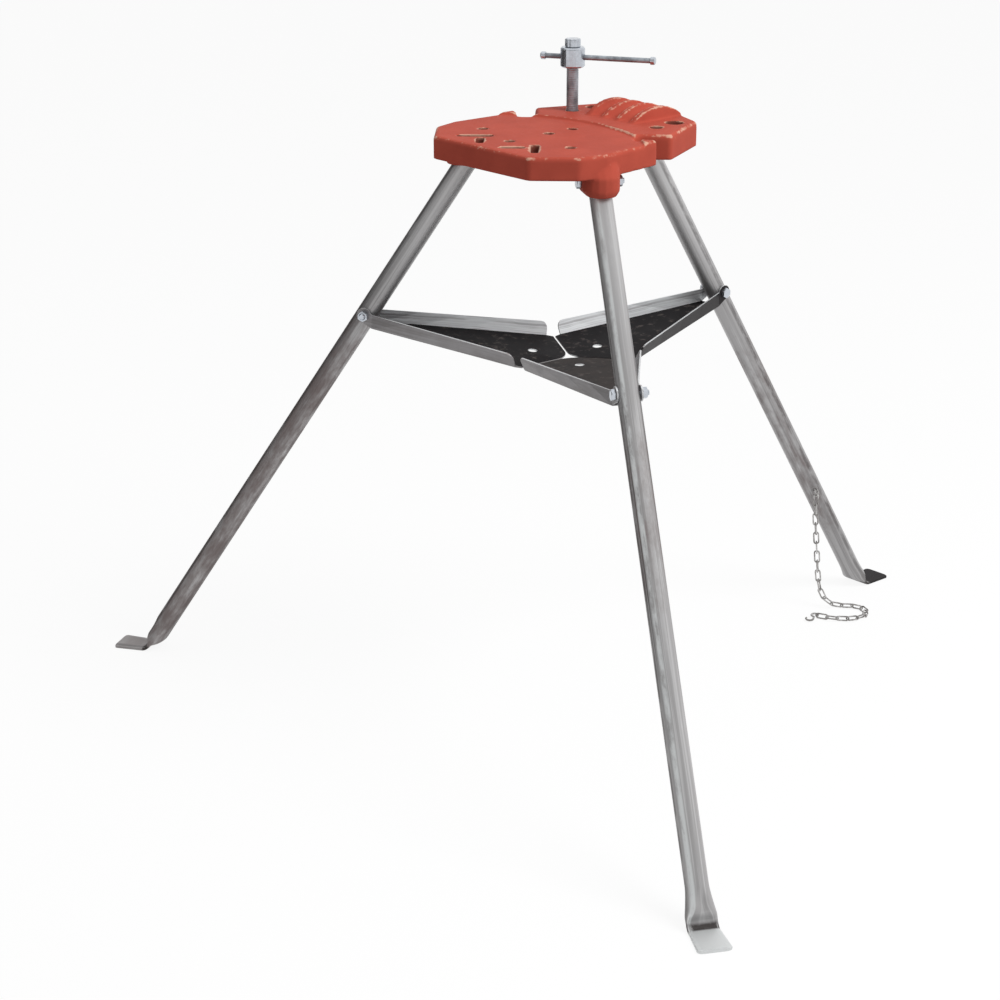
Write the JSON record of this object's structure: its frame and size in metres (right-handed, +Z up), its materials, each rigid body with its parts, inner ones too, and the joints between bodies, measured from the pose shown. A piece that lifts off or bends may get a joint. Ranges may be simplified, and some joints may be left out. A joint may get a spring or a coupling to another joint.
{
  "type": "folding tripod pipe stand",
  "caption": "Folding tripod stand for a pipe vise: cast top with a grooved bender hump and a ceiling-brace screw, hinged tube legs, a folding sheet tray and a hook on a chain.",
  "frame": {"origin": "middle of the stand's box on the floor", "axes": "+X towards the right leg's side, +Y towards the rear leg, +Z up"},
  "size_m": [1.2158, 1.0544, 0.9129],
  "materials": {
    "red_paint": "worn red paint on cast iron",
    "leg_steel": "bare galvanised tube with lengthwise streaks",
    "zinc_plate": "bright zinc plate",
    "tray_steel": "dark rolled sheet with bright streaked flanges",
    "chain_steel": "dull steel wire"
  },
  "bodies": {
    "stand_top": {"top_casting": "red_paint", "leg_pivot_bolt_left": "zinc_plate", "leg_pivot_nut_left": "zinc_plate", "leg_pivot_bolt_right": "zinc_plate", "leg_pivot_nut_right": "zinc_plate", "leg_pivot_bolt_rear": "zinc_plate", "leg_pivot_nut_rear": "zinc_plate"},
    "leg_left": {"left_leg": "leg_steel", "tray_bolt_left": "zinc_plate", "tray_nut_left": "zinc_plate"},
    "leg_right": {"right_leg": "leg_steel", "tray_bolt_right": "zinc_plate", "tray_nut_right": "zinc_plate"},
    "leg_rear": {"rear_leg": "leg_steel", "tray_bolt_rear": "zinc_plate", "tray_nut_rear": "zinc_plate", "chain_eye": "chain_steel", "chain_link_01": "chain_steel", "chain_link_02": "chain_steel", "chain_link_03": "chain_steel", "chain_link_04": "chain_steel", "chain_link_05": "chain_steel", "chain_link_06": "chain_steel", "chain_link_07": "chain_steel", "chain_link_08": "chain_steel", "chain_link_09": "chain_steel", "chain_link_10": "chain_steel", "chain_link_11": "chain_steel", "chain_link_12": "chain_steel", "chain_link_13": "chain_steel", "chain_link_14": "chain_steel", "chain_link_15": "chain_steel", "chain_link_16": "chain_steel", "chain_link_17": "chain_steel", "chain_link_18": "chain_steel", "chain_link_19": "chain_steel", "chain_link_20": "chain_steel", "chain_link_21": "chain_steel", "chain_link_22": "chain_steel", "chain_hook": "chain_steel"},
    "leaf_left": {"tray_leaf_left": "tray_steel"},
    "leaf_right": {"tray_leaf_right": "tray_steel"},
    "leaf_rear": {"tray_leaf_rear": "tray_steel"},
    "cap": {"swivel_cap": "zinc_plate"},
    "screw": {"brace_screw": "zinc_plate", "brace_hub": "zinc_plate"},
    "handle": {"handle_bar": "zinc_plate", "handle_knob_short": "zinc_plate", "handle_knob_long": "zinc_plate"}
  },
  "joints": [
    {"name": "leg_left_fold", "type": "hinge", "parent": "stand_top", "child": "leg_left", "pos_m": [-0.11743, -0.23244, 0.77499], "axis": [0.5, -0.866, 0], "range_deg": [0, 30]},
    {"name": "leaf_left_fold", "type": "hinge", "parent": "leg_left", "child": "leaf_left", "pos_m": [-0.24817, -0.30792, 0.545], "axis": [0.5, -0.866, 0], "range_deg": [0, 56]},
    {"name": "leg_right_fold", "type": "hinge", "parent": "stand_top", "child": "leg_right", "pos_m": [0.11743, -0.23244, 0.77499], "axis": [0.5, 0.866, 0], "range_deg": [0, 30]},
    {"name": "leaf_right_fold", "type": "hinge", "parent": "leg_right", "child": "leaf_right", "pos_m": [0.24817, -0.30792, 0.545], "axis": [0.5, 0.866, 0], "range_deg": [0, 56]},
    {"name": "leg_rear_fold", "type": "hinge", "parent": "stand_top", "child": "leg_rear", "pos_m": [0, -0.02904, 0.77499], "axis": [-1, 0, 0], "range_deg": [0, 30]},
    {"name": "leaf_rear_fold", "type": "hinge", "parent": "leg_rear", "child": "leaf_rear", "pos_m": [0, 0.12192, 0.545], "axis": [-1, 0, 0], "range_deg": [0, 56]},
    {"name": "brace_lift", "type": "slide", "parent": "stand_top", "child": "cap", "axis": [0, 0, 1], "range_m": [-0.04, 0.02]},
    {"name": "brace_turn", "type": "hinge", "parent": "cap", "child": "screw", "pos_m": [-0.0775, -0.08814, 0.8146], "axis": [0, 0, 1], "range_deg": [-4800, 2400]},
    {"name": "handle_slide", "type": "slide", "parent": "screw", "child": "handle", "axis": [0.866, 0.5, 0], "range_m": [-0.089, 0.02]}
  ],
  "couplings": [
    {"joint": "leaf_left_fold", "follows": "leg_left_fold", "ratio": 1.8667},
    {"joint": "leaf_right_fold", "follows": "leg_right_fold", "ratio": 1.8667},
    {"joint": "leaf_rear_fold", "follows": "leg_rear_fold", "ratio": 1.8667},
    {"joint": "brace_lift", "follows": "brace_turn", "m_per_rad": 0.00047746}
  ]
}
